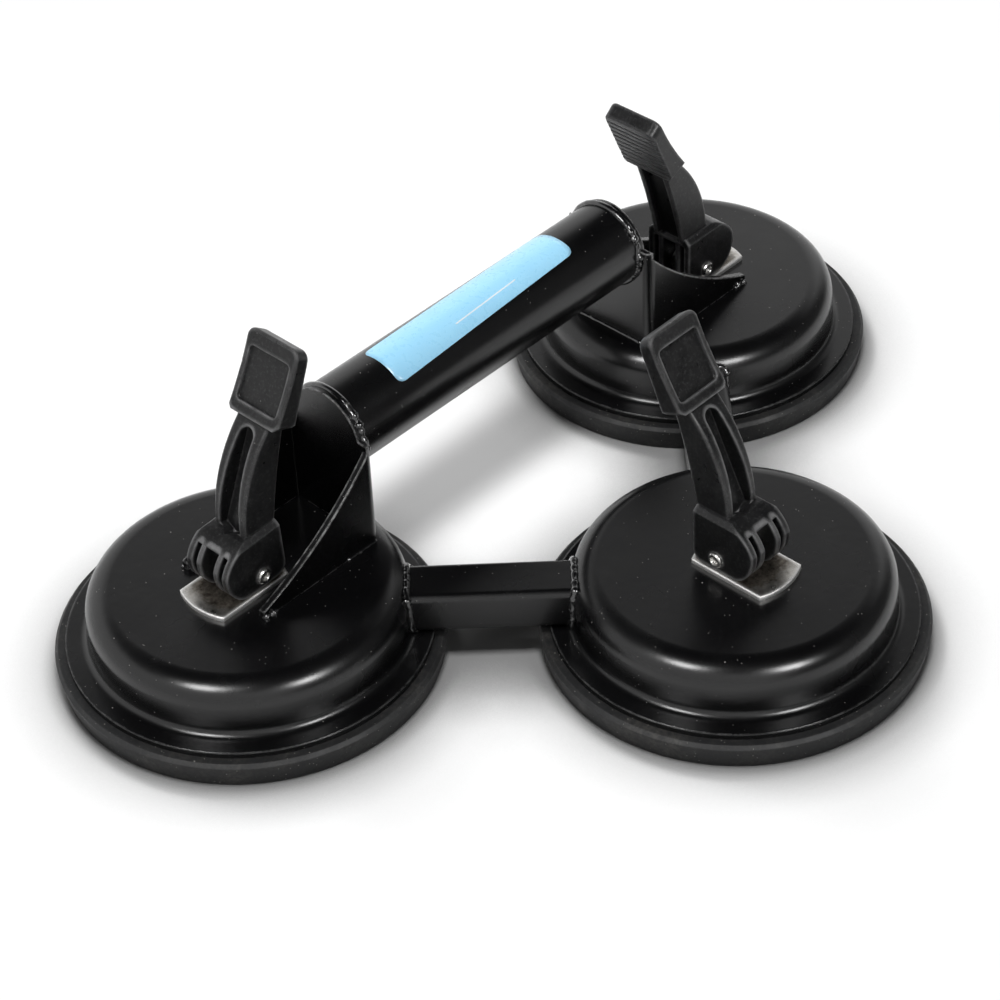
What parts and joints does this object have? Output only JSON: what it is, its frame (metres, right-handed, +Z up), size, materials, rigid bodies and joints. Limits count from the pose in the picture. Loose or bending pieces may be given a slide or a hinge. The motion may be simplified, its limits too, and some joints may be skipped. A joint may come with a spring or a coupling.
{
  "type": "floor tile suction lifter",
  "caption": "Vacuum lifter with rubber suction pads under steel cups, each with a folding cam lever, joined by square bars and a tubular hand grip.",
  "frame": {"origin": "centre of the overall box at the pads' undersides, which is the surface being lifted", "axes": "+X along the hand grip from cup A to cup C, -Y towards cup B, +Z up off the load"},
  "size_m": [0.324, 0.226, 0.1063],
  "materials": {
    "pad_rubber": "matt, slightly dusty",
    "black_coat": "gloss black powder coat",
    "nickel_plate": "bright nickel, worn brown in the middle",
    "zinc_steel": "zinc plated",
    "pin_steel": "zinc plated",
    "lever_plastic": "fine satin grain"
  },
  "bodies": {
    "lifter_frame": {"rubber_pad_a": "pad_rubber", "cup_shell_a": "black_coat", "wear_plate_a": "nickel_plate", "rubber_pad_b": "pad_rubber", "cup_shell_b": "black_coat", "wear_plate_b": "nickel_plate", "rubber_pad_c": "pad_rubber", "cup_shell_c": "black_coat", "wear_plate_c": "nickel_plate", "handle_tube": "black_coat", "grip_bracket_a": "black_coat", "grip_bracket_c": "black_coat", "brace_bar_ab": "black_coat", "brace_bar_cb": "black_coat", "bar_weld_ab": "black_coat", "bar_weld_ba": "black_coat", "bar_weld_bc": "black_coat", "bar_weld_cb": "black_coat", "grip_weld_a": "black_coat", "grip_weld_c": "black_coat"},
    "stem_a": {"backing_disc_a": "zinc_steel", "lift_stem_a": "zinc_steel"},
    "lever_a": {"cam_lever_a": "lever_plastic", "hinge_pin_a": "pin_steel"},
    "stem_b": {"backing_disc_b": "zinc_steel", "lift_stem_b": "zinc_steel"},
    "lever_b": {"cam_lever_b": "lever_plastic", "hinge_pin_b": "pin_steel"},
    "stem_c": {"backing_disc_c": "zinc_steel", "lift_stem_c": "zinc_steel"},
    "lever_c": {"cam_lever_c": "lever_plastic", "hinge_pin_c": "pin_steel"}
  },
  "joints": [
    {"name": "stem_lift_a", "type": "slide", "parent": "lifter_frame", "child": "stem_a", "axis": [0, 0, 1], "range_m": [0, 0.00996]},
    {"name": "lever_fold_a", "type": "hinge", "parent": "stem_a", "child": "lever_a", "pos_m": [-0.102, 0.053, 0.03452], "axis": [0, -1, 0], "range_deg": [0, 92]},
    {"name": "stem_lift_b", "type": "slide", "parent": "lifter_frame", "child": "stem_b", "axis": [0, 0, 1], "range_m": [0, 0.01029]},
    {"name": "lever_fold_b", "type": "hinge", "parent": "stem_b", "child": "lever_b", "pos_m": [0, -0.053, 0.0342], "axis": [1, 0, 0], "range_deg": [0, 95]},
    {"name": "stem_lift_c", "type": "slide", "parent": "lifter_frame", "child": "stem_c", "axis": [0, 0, 1], "range_m": [0, 0.01029]},
    {"name": "lever_fold_c", "type": "hinge", "parent": "stem_c", "child": "lever_c", "pos_m": [0.102, 0.053, 0.0342], "axis": [0, 1, 0], "range_deg": [0, 95]}
  ],
  "couplings": [
    {"joint": "stem_lift_a", "follows": "lever_fold_a", "m_per_rad": 0.0062},
    {"joint": "stem_lift_b", "follows": "lever_fold_b", "m_per_rad": 0.0062},
    {"joint": "stem_lift_c", "follows": "lever_fold_c", "m_per_rad": 0.0062}
  ]
}
